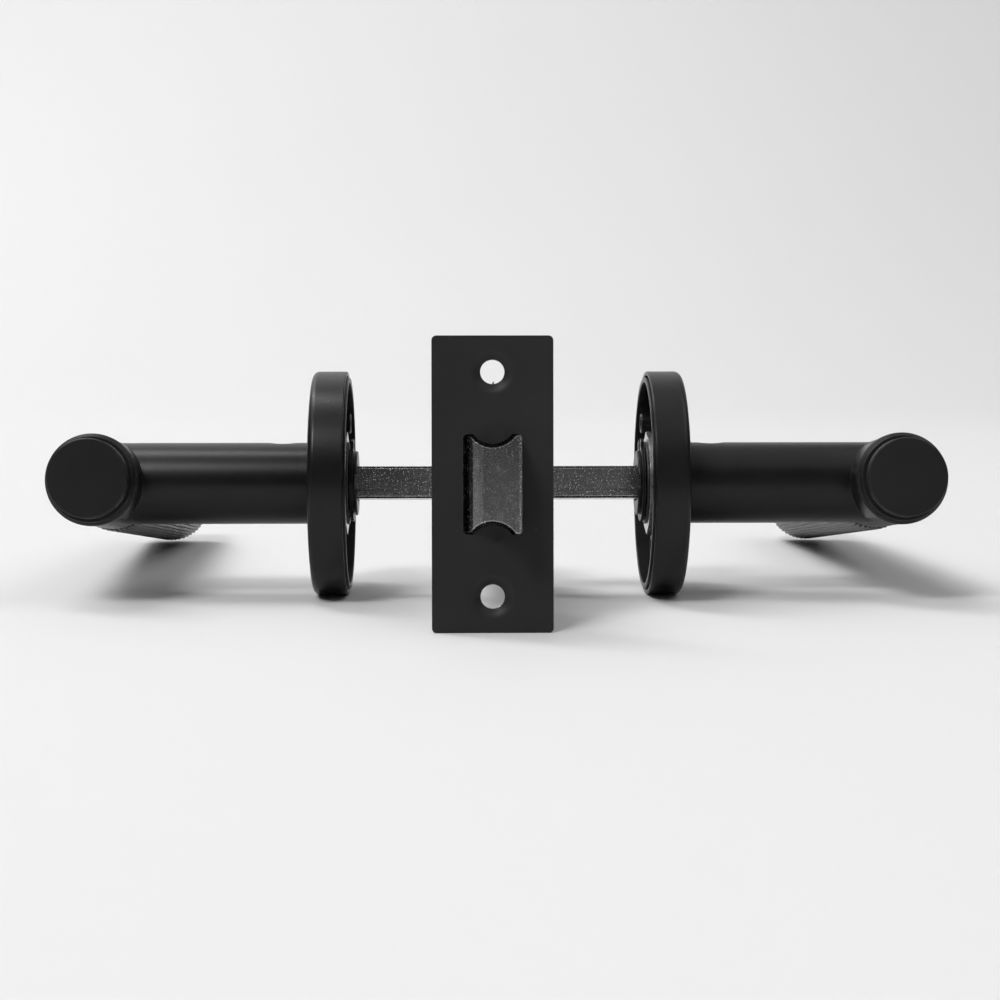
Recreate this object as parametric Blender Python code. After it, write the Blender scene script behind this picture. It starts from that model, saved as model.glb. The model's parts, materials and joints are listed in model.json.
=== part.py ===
"""Door lever handle set: two handles on round roses, a square spindle and a tubular mortice latch.

The frame is the door edge's. The origin is where the spindle's axis crosses the latch's axis, +X runs along
the spindle, the faceplate faces -Y, the grips point along +Y and +Z is up. Everything is in metres.
"""

import math

import bmesh
import bpy
from mathutils import Matrix, Vector

MM = 0.001
FULL_TURN = 2 * math.pi
GAP = 0.3 * MM  # left between neighbouring solids
WELD = 0.001 * MM
SHARP_ANGLE = math.radians(35)

# Latch
BACKSET = 57.0 * MM  # faceplate's front to the spindle's axis
PLATE_WIDTH = 25.0 * MM
PLATE_HEIGHT = 61.0 * MM
PLATE_THICK = 1.5 * MM
PLATE_CORNER = 1.0 * MM
SCREW_SPACING = 46.2 * MM
SCREW_HOLE_R = 2.5 * MM
COUNTERSINK_R = 4.1 * MM
COUNTERSINK_DEEP = 1.1 * MM
TUBE_R = 12.3 * MM
TUBE_WALL = 0.8 * MM
TUBE_END_Y = -28.0 * MM
CASE_END_Y = 19.0 * MM
CASE_HALF_WIDTH = 6.5 * MM
BOLT_THROW = 9.9 * MM
BOLT_HALF_WIDTH = 5.9 * MM
BOLT_HALF_HEIGHT = 9.8 * MM
BOLT_BACK_Y = -44.0 * MM
BOLT_CORNER = 0.6 * MM
BOLT_BEVEL_DROP = 9.5 * MM
BOLT_BEVEL_ROOT_X = -4.3 * MM
BOLT_SIDE_DROP = 3.6 * MM
SCALLOP_CENTRE_Z = 13.3 * MM
SCALLOP_R = 5.5 * MM
OPENING_CLEARANCE = 0.5 * MM
STOP_Y = -26.3 * MM
STOP_THICK = 1.4 * MM
ROD_R = 2.0 * MM
YOKE_WEB_Y = -23.0 * MM
YOKE_SHEET = 1.4 * MM
YOKE_INNER_X = 2.3 * MM
YOKE_PRONG_LOW_Z = 7.7 * MM
YOKE_PRONG_HIGH_Z = 10.7 * MM
YOKE_PRONG_END_Y = -1.6 * MM
YOKE_PIN_R = 0.9 * MM
YOKE_PIN_Y = -3.6 * MM
YOKE_PIN_Z = 9.7 * MM
FOLLOWER_R = 7.0 * MM
FOLLOWER_HALF = 6.9 * MM
ARM_LENGTH = 11.0 * MM
ARM_HALF_WIDTH = 1.6 * MM
ARM_HALF_THICK = 1.9 * MM
ARM_LEAN = math.radians(38.0)  # towards the faceplate, at rest
RIVET_R = 1.3 * MM

# Spindle and the way the levers hang
SPINDLE_SIDE = 7.6 * MM
SPINDLE_IN_HANDLE = 24.0 * MM  # past each rose's rim
LEVER_SAG = math.radians(3.2)  # grips below the latch's axis at rest

# Handles. Distances along a handle run outwards from its rose's rim, the side that meets the door.
LEFT_RIM_X = 32.6 * MM
RIGHT_RIM_X = 36.8 * MM
ROSE_R = 26.0 * MM
ROSE_DEPTH = 7.9 * MM
ROSE_EDGE_R = 1.5 * MM
ROSE_WALL = 1.0 * MM
BASE_R = 24.6 * MM
BASE_PROUD = 0.75 * MM
POST_R = 2.4 * MM
POST_CIRCLE_R = 19.0 * MM
POST_ANGLE = math.radians(41.6)  # from straight up, away from the faceplate
NECK_R = 9.45 * MM
SPIGOT_R = 7.5 * MM
SPIGOT_PROUD = 2.3 * MM
SOCKET_SIDE = 8.2 * MM
SOCKET_DEEP = 41.0 * MM
GRUB_AT = 15.1 * MM
GRUB_R = 2.4 * MM
GRIP_AT = 56.5 * MM  # grip's axis
HEAD_R = 10.2 * MM
HEAD_FRONT_Y = -15.6 * MM
HEAD_BACK_Y = 12.0 * MM
CORE_R = 6.4 * MM
CAP_SPIGOT_R = 4.0 * MM
KNURL_R = 10.7 * MM
KNURL_START_Y = 13.3 * MM
KNURL_END_Y = 111.0 * MM

ROUND = 32  # segments of a large turned piece
SMALL_ROUND = 20
TINY_ROUND = 12


def clear_scene():
    for obj in list(bpy.data.objects):
        bpy.data.objects.remove(obj, do_unlink=True)


def make_material(name, colour, roughness, metallic):
    made = bpy.data.materials.new(name)
    made.use_nodes = True
    shader = made.node_tree.nodes["Principled BSDF"]
    shader.inputs["Base Color"].default_value = (*colour, 1.0)
    shader.inputs["Roughness"].default_value = roughness
    shader.inputs["Metallic"].default_value = metallic
    return made


# Shapes: each of these returns a bmesh


def turned(outline, axis, segments, start=(0, 0, 0)):
    """A closed outline of (distance along axis, radius) points, turned about the axis."""
    shape = bmesh.new()
    along = Vector(axis)
    across = Vector((1, 0, 0)) if along.z else Vector((0, 0, 1))
    foot = Vector(start)
    corners = [shape.verts.new(foot + along * a + across * r) for a, r in outline]
    edges = [shape.edges.new((corners[i - 1], corners[i])) for i in range(len(corners))]
    bmesh.ops.spin(
        shape, geom=corners + edges, cent=foot, axis=along, angle=FULL_TURN, steps=segments, use_merge=True
    )
    return shape


def extruded(points, along):
    """A flat outline pushed along a vector."""
    shape = bmesh.new()
    face = shape.faces.new([shape.verts.new(point) for point in points])
    grown = bmesh.ops.extrude_face_region(shape, geom=[face])["geom"]
    far = [item for item in grown if isinstance(item, bmesh.types.BMVert)]
    bmesh.ops.translate(shape, verts=far, vec=along)
    return shape


def box(low, high):
    shape = bmesh.new()
    size = Vector(high) - Vector(low)
    middle = (Vector(high) + Vector(low)) / 2
    bmesh.ops.create_cube(shape, size=1.0, matrix=Matrix.Translation(middle) @ Matrix.Diagonal((*size, 1.0)))
    return shape


def ring_tube(points, radius, sides):
    """Round wire through the points, closed at both ends."""
    shape = bmesh.new()
    rings = []
    for i, point in enumerate(points):
        ahead = points[min(i + 1, len(points) - 1)]
        behind = points[max(i - 1, 0)]
        turn = (ahead - behind).to_track_quat("Z", "Y").to_matrix()
        ring = []
        for k in range(sides):
            angle = FULL_TURN * k / sides
            offset = Vector((radius * math.cos(angle), radius * math.sin(angle), 0))
            ring.append(shape.verts.new(point + turn @ offset))
        rings.append(ring)
    for near, far in zip(rings, rings[1:]):
        shift = closest_start(near[0], far)
        for k in range(sides):
            here, beyond = far[(k + shift) % sides], far[(k + 1 + shift) % sides]
            shape.faces.new((near[k], near[(k + 1) % sides], beyond, here))
        far[:] = far[shift:] + far[:shift]
    shape.faces.new(rings[0])
    shape.faces.new(rings[-1])
    return shape


def closest_start(vert, ring):
    """Which vertex of the next ring lines up with this one, so that the wire doesn't twist."""
    return min(range(len(ring)), key=lambda k: (ring[k].co - vert.co).length)


# Objects


def to_object(name, shape, finish, parent=None):
    bmesh.ops.remove_doubles(shape, verts=shape.verts, dist=WELD)
    loose = [edge for edge in shape.edges if edge.is_wire]
    bmesh.ops.delete(shape, geom=loose, context="EDGES")
    bmesh.ops.recalc_face_normals(shape, faces=shape.faces)
    mesh = bpy.data.meshes.new(name)
    shape.to_mesh(mesh)
    shape.free()
    mesh.shade_smooth()
    mesh.set_sharp_from_angle(angle=SHARP_ANGLE)
    obj = bpy.data.objects.new(name, mesh)
    if finish:
        mesh.materials.append(finish)
    obj.parent = parent
    bpy.context.scene.collection.objects.link(obj)
    return obj


def combine(obj, name, shape, operation="DIFFERENCE"):
    """Cuts the shape from the object, or joins it to the object."""
    helper = to_object(f"{obj.name}_{name}", shape, None, obj.parent)
    helper.hide_render = True
    helper.display_type = "WIRE"
    step = obj.modifiers.new(name, "BOOLEAN")
    step.operation = operation
    step.solver = "EXACT"
    step.object = helper


def pivot(name, turn_x):
    """An empty on the spindle's axis."""
    empty = bpy.data.objects.new(name, None)
    empty.rotation_euler = (turn_x, 0, 0)
    empty.empty_display_size = ROSE_R
    bpy.context.scene.collection.objects.link(empty)
    return empty


# Outlines


def arc(centre, radius, start, end, steps):
    return [
        (
            centre[0] + radius * math.cos(start + (end - start) * i / steps),
            centre[1] + radius * math.sin(start + (end - start) * i / steps),
        )
        for i in range(steps + 1)
    ]


def rounded_rectangle(half_width, half_height, corner, steps=3):
    points = []
    for quarter, (sx, sz) in enumerate(((1, 1), (-1, 1), (-1, -1), (1, -1))):
        centre = (sx * (half_width - corner), sz * (half_height - corner))
        begin = quarter * math.pi / 2
        points += arc(centre, corner, begin, begin + math.pi / 2, steps)
    return points


def scalloped_rectangle(half_width, half_height, arc_r, corner):
    """A rounded rectangle whose top and bottom are each hollowed by an arc."""
    chord = math.sqrt(arc_r**2 - (SCALLOP_CENTRE_Z - half_height) ** 2)
    reach = math.asin(chord / arc_r)
    down, up = -math.pi / 2, math.pi / 2
    right_top = arc((half_width - corner, half_height - corner), corner, 0, up, 3)
    top = arc((0, SCALLOP_CENTRE_Z), arc_r, down + reach, down - reach, 8)
    left_top = [(-x, z) for x, z in reversed(right_top)]
    upper = right_top + top + left_top
    return upper + [(-x, -z) for x, z in upper]


def in_plate_plane(outline, y):
    return [(x, y, z) for x, z in outline]


# Latch


def countersink():
    top, bottom = SCREW_HOLE_R, COUNTERSINK_R
    outline = [
        (-1 * MM, 0),
        (-1 * MM, bottom),
        (0, bottom),
        (COUNTERSINK_DEEP, top),
        (2 * PLATE_THICK, top),
        (2 * PLATE_THICK, 0),
    ]
    return outline


def make_plates(finish, steel):
    opening = scalloped_rectangle(
        BOLT_HALF_WIDTH + OPENING_CLEARANCE,
        BOLT_HALF_HEIGHT + OPENING_CLEARANCE,
        SCALLOP_R - OPENING_CLEARANCE,
        BOLT_CORNER,
    )
    front = -BACKSET
    back_front = front + PLATE_THICK + GAP
    outline = rounded_rectangle(PLATE_WIDTH / 2, PLATE_HEIGHT / 2, PLATE_CORNER)
    plates = (("faceplate", front, finish), ("inner_plate", back_front, steel))
    for name, y, look in plates:
        plate = to_object(name, extruded(in_plate_plane(outline, y), (0, PLATE_THICK, 0)), look)
        cutter = extruded(in_plate_plane(opening, y - 1 * MM), (0, PLATE_THICK + 2 * MM, 0))
        combine(plate, "bolt_opening", cutter)
        for side in (1, -1):
            place = (0, y, side * SCREW_SPACING / 2)
            if name == "faceplate":
                hole = turned(countersink(), (0, 1, 0), SMALL_ROUND, place)
            else:
                hole = turned(disc_outline(-1 * MM, 3 * MM, SCREW_HOLE_R), (0, 1, 0), SMALL_ROUND, place)
            combine(plate, f"screw_hole_{side}", hole)


def disc_outline(low, high, radius):
    return [(low, 0), (low, radius), (high, radius), (high, 0)]


def sleeve_outline(low, high, inner, outer):
    return [(low, inner), (low, outer), (high, outer), (high, inner)]


def make_tube(steel):
    front = -BACKSET + 2 * PLATE_THICK + 2 * GAP
    outline = sleeve_outline(front, TUBE_END_Y, TUBE_R - TUBE_WALL, TUBE_R)
    to_object("latch_tube", turned(outline, (0, 1, 0), ROUND), steel)


def case_section(side):
    """Half of the tube's ring with its side pressed flat, as (x, z) points."""
    inner_r = TUBE_R - TUBE_WALL
    outer_flat = math.acos(CASE_HALF_WIDTH / TUBE_R)
    inner_flat = math.acos((CASE_HALF_WIDTH - TUBE_WALL) / inner_r)
    top = math.pi / 2 - GAP / TUBE_R
    outer = arc((0, 0), TUBE_R, top, outer_flat, 5)
    outer += arc((0, 0), TUBE_R, -outer_flat, -top, 5)
    inner = arc((0, 0), inner_r, -top, -inner_flat, 5)
    inner += arc((0, 0), inner_r, inner_flat, top, 5)
    return [(side * x, z) for x, z in outer + inner]


def make_case(steel):
    start = TUBE_END_Y + GAP
    length = CASE_END_Y - start
    for name, side in (("case_left", -1), ("case_right", 1)):
        half = to_object(name, extruded(in_plate_plane(case_section(side), start), (0, length, 0)), steel)
        hub_hole = disc_outline(side * 4 * MM, side * 9 * MM, FOLLOWER_R + GAP)
        combine(half, "hub_hole", turned(hub_hole, (1, 0, 0), SMALL_ROUND))
        for number, (y, z) in enumerate(rivet_places()):
            hole = disc_outline(side * 4 * MM, side * 9 * MM, RIVET_R + GAP)
            combine(half, f"rivet_hole_{number}", turned(hole, (1, 0, 0), TINY_ROUND, (0, y, z)))


def rivet_places():
    return [(16.0 * MM, 5.0 * MM), (16.0 * MM, -5.0 * MM)]


def make_rivets(steel):
    names = ("case_rivet_upper", "case_rivet_lower")
    half = CASE_HALF_WIDTH + 0.4 * MM
    for name, (y, z) in zip(names, rivet_places()):
        outline = [
            (-half - 0.5 * MM, 0),
            (-half - 0.5 * MM, RIVET_R),
            (-half + 0.1 * MM - GAP, RIVET_R + 0.7 * MM),
            (-half + 0.1 * MM - GAP, RIVET_R),
            (half - 0.1 * MM + GAP, RIVET_R),
            (half - 0.1 * MM + GAP, RIVET_R + 0.7 * MM),
            (half + 0.5 * MM, RIVET_R),
            (half + 0.5 * MM, 0),
        ]
        to_object(name, turned(outline, (1, 0, 0), TINY_ROUND, (0, y, z)), steel)


def cut_in_front(solid, start, end):
    """Cuts off all that lies in front of the upright plane from start to end."""
    slope = end - start
    normal = Vector((slope.y, -slope.x, 0)).normalized()
    everything = solid.verts[:] + solid.edges[:] + solid.faces[:]
    bmesh.ops.bisect_plane(solid, geom=everything, plane_co=start, plane_no=-normal, clear_outer=True)
    open_edges = [edge for edge in solid.edges if edge.is_boundary]
    bmesh.ops.contextual_create(solid, geom=open_edges)


def make_bolt(steel):
    front = -BACKSET - BOLT_THROW - 0.1 * MM
    outline = scalloped_rectangle(BOLT_HALF_WIDTH, BOLT_HALF_HEIGHT, SCALLOP_R, BOLT_CORNER)
    bolt = extruded(in_plate_plane(outline, front), (0, BOLT_BACK_Y - front, 0))
    nose = Vector((BOLT_HALF_WIDTH - 0.3 * MM, front, 0))
    root = Vector((BOLT_BEVEL_ROOT_X, front + BOLT_BEVEL_DROP, 0))
    side = Vector((-BOLT_HALF_WIDTH, root.y + BOLT_SIDE_DROP, 0))
    cut_in_front(bolt, nose, root)
    cut_in_front(bolt, root, side)
    made = to_object("latch_bolt", bolt, steel)
    hole = turned(disc_outline(BOLT_BACK_Y - 5 * MM, BOLT_BACK_Y + 1 * MM, ROD_R + GAP), (0, 1, 0), TINY_ROUND)
    combine(made, "rod_hole", hole)


def make_rod_and_stop(steel):
    web_back = YOKE_WEB_Y + YOKE_SHEET
    rod = disc_outline(BOLT_BACK_Y - 5 * MM + GAP, web_back, ROD_R)
    to_object("tail_rod", turned(rod, (0, 1, 0), TINY_ROUND), steel)
    outline = sleeve_outline(STOP_Y, STOP_Y + STOP_THICK, ROD_R + GAP, 5.3 * MM)
    stop = to_object("spring_stop", turned(outline, (0, 1, 0), SMALL_ROUND), steel)
    tab = box((-1.8 * MM, STOP_Y, -11.0 * MM), (1.8 * MM, STOP_Y + STOP_THICK, 11.0 * MM))
    cleared = turned(disc_outline(STOP_Y - MM, STOP_Y + 3 * MM, ROD_R + GAP), (0, 1, 0), TINY_ROUND)
    combine(stop, "tabs", tab, "UNION")
    combine(stop, "rod_hole", cleared)


def coil_points(axis, foot, radius, start, end, turns, per_turn, first_angle):
    """Points along a helix, and its first and last angles are at its ends."""
    along = Vector(axis)
    across = along.orthogonal().normalized()
    other = along.cross(across)
    count = round(turns * per_turn)
    points = []
    for i in range(count + 1):
        share = i / count
        angle = first_angle + FULL_TURN * turns * share
        out = across * math.cos(angle) + other * math.sin(angle)
        points.append(Vector(foot) + along * (start + (end - start) * share) + out * radius)
    return points


def make_bolt_spring(steel):
    start = BOLT_BACK_Y + GAP + 0.45 * MM
    end = STOP_Y - GAP - 0.45 * MM
    points = coil_points((0, 1, 0), (0, 0, 0), 3.4 * MM, start, end, 6, 10, 0)
    to_object("bolt_spring", ring_tube(points, 0.4 * MM, 6), steel)


def make_yoke(steel):
    outer_x = YOKE_INNER_X + YOKE_SHEET
    web_back = YOKE_WEB_Y + YOKE_SHEET
    top = YOKE_PRONG_HIGH_Z
    web = box((-outer_x, YOKE_WEB_Y, -top), (outer_x, web_back, top))
    yoke = to_object("draw_yoke", web, steel)
    for side in (1, -1):
        for level in (1, -1):
            x_ends = sorted((side * YOKE_INNER_X, side * outer_x))
            z_ends = sorted((level * YOKE_PRONG_LOW_Z, level * top))
            low = (x_ends[0], YOKE_WEB_Y + 0.2 * MM, z_ends[0])
            high = (x_ends[1], YOKE_PRONG_END_Y, z_ends[1])
            combine(yoke, f"prong_{side}_{level}", box(low, high), "UNION")
    for level in (1, -1):
        place = (0, YOKE_PIN_Y, level * YOKE_PIN_Z)
        hole = disc_outline(-6 * MM, 6 * MM, YOKE_PIN_R + GAP / 2)
        combine(yoke, f"pin_hole_{level}", turned(hole, (1, 0, 0), TINY_ROUND, place))
    rod_hole = disc_outline(YOKE_WEB_Y - MM, web_back + MM, ROD_R + GAP / 2)
    combine(yoke, "rod_hole", turned(rod_hole, (0, 1, 0), TINY_ROUND))


def make_yoke_pins(steel):
    half = YOKE_INNER_X + YOKE_SHEET
    for name, level in (("yoke_pin_upper", 1), ("yoke_pin_lower", -1)):
        place = (0, YOKE_PIN_Y, level * YOKE_PIN_Z)
        to_object(name, turned(disc_outline(-half, half, YOKE_PIN_R), (1, 0, 0), TINY_ROUND, place), steel)


def square_prism(start, end, side):
    return box((start, -side / 2, -side / 2), (end, side / 2, side / 2))


def follower_arm(level):
    """An arm that leans towards the faceplate: level 1 is the upper arm and -1 the lower."""
    z_ends = sorted((level * (FOLLOWER_R - 1.5 * MM), level * ARM_LENGTH))
    low = (-ARM_HALF_THICK, -ARM_HALF_WIDTH, z_ends[0])
    high = (ARM_HALF_THICK, ARM_HALF_WIDTH, z_ends[1])
    arm = box(low, high)
    lean = Matrix.Rotation(level * ARM_LEAN + LEVER_SAG, 3, "X")
    bmesh.ops.rotate(arm, cent=(0, 0, 0), matrix=lean, verts=arm.verts)
    return arm


def make_follower(steel, turning):
    outline = disc_outline(-FOLLOWER_HALF, FOLLOWER_HALF, FOLLOWER_R)
    follower = to_object("follower", turned(outline, (1, 0, 0), SMALL_ROUND), steel, turning)
    combine(follower, "upper_arm", follower_arm(1), "UNION")
    combine(follower, "lower_arm", follower_arm(-1), "UNION")
    hole = square_prism(-9 * MM, 9 * MM, SPINDLE_SIDE + 2 * GAP)
    combine(follower, "square_hole", hole)


def make_follower_spring(steel):
    points = coil_points((1, 0, 0), (0, 0, 0), 8.1 * MM, 4.5 * MM, 5.1 * MM, 0.8, 24, 0.6)
    to_object("follower_spring", ring_tube(points, 0.45 * MM, 6), steel)


def make_spindle(steel, turning):
    start = -(LEFT_RIM_X + SPINDLE_IN_HANDLE)
    end = RIGHT_RIM_X + SPINDLE_IN_HANDLE
    spindle = to_object("spindle", square_prism(start, end, SPINDLE_SIDE), steel, turning)
    edges = spindle.modifiers.new("edges", "BEVEL")
    edges.width = 0.35 * MM
    edges.segments = 1


# Handles


def make_cover(name, side, rim, finish):
    front = rim + ROSE_DEPTH
    edge = arc((front - ROSE_EDGE_R, ROSE_R - ROSE_EDGE_R), ROSE_EDGE_R, math.pi / 2, 0, 4)
    face_in = front - 1.2 * MM
    hole_r = NECK_R + 0.45 * MM
    outline = [(rim, ROSE_R - ROSE_WALL), (rim, ROSE_R)] + edge
    outline += [(front, hole_r), (face_in, hole_r), (face_in, ROSE_R - ROSE_WALL)]
    to_object(name + "_rose_cover", turned(outline, (side, 0, 0), ROUND), finish)


def make_base(name, side, rim, finish):
    floor_in, floor_out = rim + 5.0 * MM, rim + 6.4 * MM
    wall_in = BASE_R - 1.1 * MM
    boss_out, boss_in = 11.2 * MM, 9.8 * MM
    outline = [
        (rim - BASE_PROUD, wall_in),
        (rim - BASE_PROUD, BASE_R),
        (floor_out, BASE_R),
        (floor_out, boss_in),
        (rim + 3.1 * MM, boss_in),
        (rim + 3.1 * MM, boss_out),
        (floor_in, boss_out),
        (floor_in, wall_in),
    ]
    to_object(name + "_rose_base", turned(outline, (side, 0, 0), ROUND), finish)


def make_posts(name, side, rim, finish):
    outline = [
        (rim, 1.6 * MM),
        (rim, POST_R - 0.4 * MM),
        (rim + 0.4 * MM, POST_R),
        (rim + 4.7 * MM, POST_R),
        (rim + 4.7 * MM, 1.6 * MM),
    ]
    y = POST_CIRCLE_R * math.sin(POST_ANGLE)
    z = POST_CIRCLE_R * math.cos(POST_ANGLE)
    for place, level in (("upper", 1), ("lower", -1)):
        post = turned(outline, (side, 0, 0), TINY_ROUND, (0, level * y, level * z))
        to_object(f"{name}_post_{place}", post, finish)


def make_bush(name, side, rim, nylon):
    inner = SPIGOT_R + 0.35 * MM
    outline = [
        (rim + 1.8 * MM, inner),
        (rim + 1.8 * MM, 11.2 * MM),
        (rim + 2.8 * MM, 11.2 * MM),
        (rim + 2.8 * MM, 9.5 * MM),
        (rim + 6.4 * MM, 9.5 * MM),
        (rim + 6.4 * MM, inner),
    ]
    to_object(name + "_rose_bush", turned(outline, (side, 0, 0), SMALL_ROUND), nylon)


def make_rose_spring(name, side, rim, steel):
    coil = coil_points((side, 0, 0), (0, 0, 0), 12.9 * MM, rim + 2.5 * MM, rim + 4.1 * MM, 1.25, 24, 0.4)
    to_object(name + "_rose_spring", ring_tube(coil, 0.55 * MM, 6), steel)


def make_drive_washer(name, side, rim, steel, turning):
    near, far = rim + 0.4 * MM, rim + 1.5 * MM
    outline = sleeve_outline(near, far, SPIGOT_R + 0.35 * MM, 11.5 * MM)
    washer = to_object(name + "_drive_washer", turned(outline, (side, 0, 0), SMALL_ROUND), steel, turning)
    x_ends = sorted((side * near, side * far))
    tab = box((x_ends[0], 10.5 * MM, -1.5 * MM), (x_ends[1], 15.4 * MM, 1.5 * MM))
    x_ends = sorted((side * near, side * (rim + 4.2 * MM)))
    finger = box((x_ends[0], 14.2 * MM, -1.5 * MM), (x_ends[1], 15.4 * MM, 1.5 * MM))
    combine(washer, "tab", tab, "UNION")
    combine(washer, "finger", finger, "UNION")


def make_retaining_rings(name, side, rim, nylon, finish, turning):
    inner = SPIGOT_R + 0.35 * MM
    outline = sleeve_outline(rim - 0.35 * MM, rim + 0.1 * MM, inner, 10.3 * MM)
    to_object(name + "_thrust_ring", turned(outline, (side, 0, 0), SMALL_ROUND), nylon, turning)
    outline = sleeve_outline(rim - 1.4 * MM, rim - 0.7 * MM, 7.1 * MM, 8.9 * MM)
    clip = to_object(name + "_circlip", turned(outline, (side, 0, 0), SMALL_ROUND), finish, turning)
    x_ends = sorted((side * (rim - 2 * MM), side * rim))
    gap = box((x_ends[0], 5 * MM, -2 * MM), (x_ends[1], 10 * MM, 2 * MM))
    combine(clip, "gap", gap)


def neck_outline(rim):
    """The handle's casting from the spigot's door end to the grip's axis."""
    end = rim - SPIGOT_PROUD
    groove_r = SPIGOT_R - 0.7 * MM
    return [
        (end, 0),
        (end, SPIGOT_R - 0.3 * MM),
        (end + 0.3 * MM, SPIGOT_R),
        (rim - 1.7 * MM, SPIGOT_R),
        (rim - 1.7 * MM, groove_r),
        (rim - 0.4 * MM, groove_r),
        (rim - 0.4 * MM, SPIGOT_R),
        (rim + 6.7 * MM, SPIGOT_R),
        (rim + 6.7 * MM, NECK_R),
        (rim + GRIP_AT, NECK_R),
        (rim + GRIP_AT, 0),
    ]


def make_lever(name, side, rim, finish, turning):
    lever = to_object(name + "_lever", turned(neck_outline(rim), (side, 0, 0), ROUND), finish, turning)
    grip_foot = (side * (rim + GRIP_AT), 0, 0)
    head = turned(disc_outline(HEAD_FRONT_Y, HEAD_BACK_Y, HEAD_R), (0, 1, 0), ROUND, grip_foot)
    combine(lever, "head", head, "UNION")
    x_ends = sorted((side * (rim - 4 * MM), side * (rim + SOCKET_DEEP)))
    combine(lever, "socket", square_prism(x_ends[0], x_ends[1], SOCKET_SIDE))
    x_ends = sorted((side * (rim - 4 * MM), side * (rim - SPIGOT_PROUD + 0.5 * MM)))
    slot = box((x_ends[0], -10 * MM, -1.6 * MM), (x_ends[1], 10 * MM, 1.6 * MM))
    combine(lever, "end_slot", slot)
    grub_foot = (side * (rim + GRUB_AT), 0, 0)
    grub_hole = turned(disc_outline(0, 12 * MM, GRUB_R + GAP), (0, 0, 1), TINY_ROUND, grub_foot)
    combine(lever, "grub_hole", grub_hole)
    core_end = HEAD_BACK_Y - 9 * MM
    bore = [
        (HEAD_FRONT_Y - 1 * MM, 0),
        (HEAD_FRONT_Y - 1 * MM, CAP_SPIGOT_R + GAP),
        (core_end, CAP_SPIGOT_R + GAP),
        (core_end, CORE_R + GAP),
        (HEAD_BACK_Y + 1 * MM, CORE_R + GAP),
        (HEAD_BACK_Y + 1 * MM, 0),
    ]
    combine(lever, "head_bore", turned(bore, (0, 1, 0), SMALL_ROUND, grip_foot))


def make_grub_screw(name, side, rim, steel, turning):
    foot = (side * (rim + GRUB_AT), 0, 0)
    low = SPINDLE_SIDE / 2 + GAP
    outline = [
        (low, 0),
        (low, GRUB_R - 0.6 * MM),
        (low + 0.6 * MM, GRUB_R),
        (8.2 * MM, GRUB_R),
        (8.2 * MM, 1.2 * MM),
        (6.4 * MM, 1.2 * MM),
        (6.4 * MM, 0),
    ]
    to_object(name + "_grub_screw", turned(outline, (0, 0, 1), TINY_ROUND, foot), steel, turning)


def make_front_cap(name, foot, finish, turning):
    face = -23.8 * MM
    disc_r = 8.95 * MM
    collar_back = HEAD_FRONT_Y - GAP
    outline = [
        (face, 0),
        (face, disc_r - 0.4 * MM),
        (face + 0.4 * MM, disc_r),
        (-20.6 * MM, disc_r),
        (-20.6 * MM, 8.3 * MM),
        (-19.7 * MM, 8.3 * MM),
        (-19.7 * MM, 9.7 * MM),
        (-17.9 * MM, 9.7 * MM),
        (-17.6 * MM, 10.4 * MM),
        (collar_back, 10.4 * MM),
        (collar_back, CAP_SPIGOT_R),
        (HEAD_FRONT_Y + 4.5 * MM, CAP_SPIGOT_R),
        (HEAD_FRONT_Y + 4.5 * MM, 0),
    ]
    to_object(name + "_front_cap", turned(outline, (0, 1, 0), ROUND, foot), finish, turning)


def make_grip(name, foot, finish, turning):
    core_start = HEAD_BACK_Y - 8 * MM
    shoulder_r = 9.4 * MM
    core = [
        (core_start, 0),
        (core_start, CORE_R),
        (HEAD_BACK_Y + GAP, CORE_R),
        (HEAD_BACK_Y + GAP, shoulder_r),
        (KNURL_START_Y - GAP, shoulder_r),
        (KNURL_START_Y - GAP, CORE_R),
        (KNURL_END_Y - 6 * MM, CORE_R),
        (KNURL_END_Y - 6 * MM, 0),
    ]
    to_object(name + "_grip_core", turned(core, (0, 1, 0), SMALL_ROUND, foot), finish, turning)
    chamfer = 0.4 * MM
    sleeve = [
        (KNURL_START_Y, CORE_R + GAP),
        (KNURL_START_Y, KNURL_R - chamfer),
        (KNURL_START_Y + chamfer, KNURL_R),
        (KNURL_END_Y - chamfer, KNURL_R),
        (KNURL_END_Y, KNURL_R - chamfer),
        (KNURL_END_Y, CORE_R + GAP),
    ]
    to_object(name + "_knurled_grip", turned(sleeve, (0, 1, 0), ROUND, foot), finish, turning)
    cap_start = KNURL_END_Y + GAP
    rear = [
        (KNURL_END_Y - 5.5 * MM, 0),
        (KNURL_END_Y - 5.5 * MM, CORE_R),
        (cap_start, CORE_R),
        (cap_start, 8.95 * MM),
        (cap_start + 2.6 * MM, 8.95 * MM),
        (cap_start + 3.0 * MM, 8.55 * MM),
        (cap_start + 3.0 * MM, 0),
    ]
    to_object(name + "_rear_cap", turned(rear, (0, 1, 0), ROUND, foot), finish, turning)


def make_handle(name, side, rim, finishes, turning):
    black, steel, nylon = finishes
    make_cover(name, side, rim, black)
    make_base(name, side, rim, black)
    make_posts(name, side, rim, black)
    make_bush(name, side, rim, nylon)
    make_rose_spring(name, side, rim, steel)
    make_drive_washer(name, side, rim, steel, turning)
    make_retaining_rings(name, side, rim, nylon, black, turning)
    make_lever(name, side, rim, black, turning)
    make_grub_screw(name, side, rim, steel, turning)
    grip_foot = (side * (rim + GRIP_AT), 0, 0)
    make_front_cap(name, grip_foot, black, turning)
    make_grip(name, grip_foot, black, turning)


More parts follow.
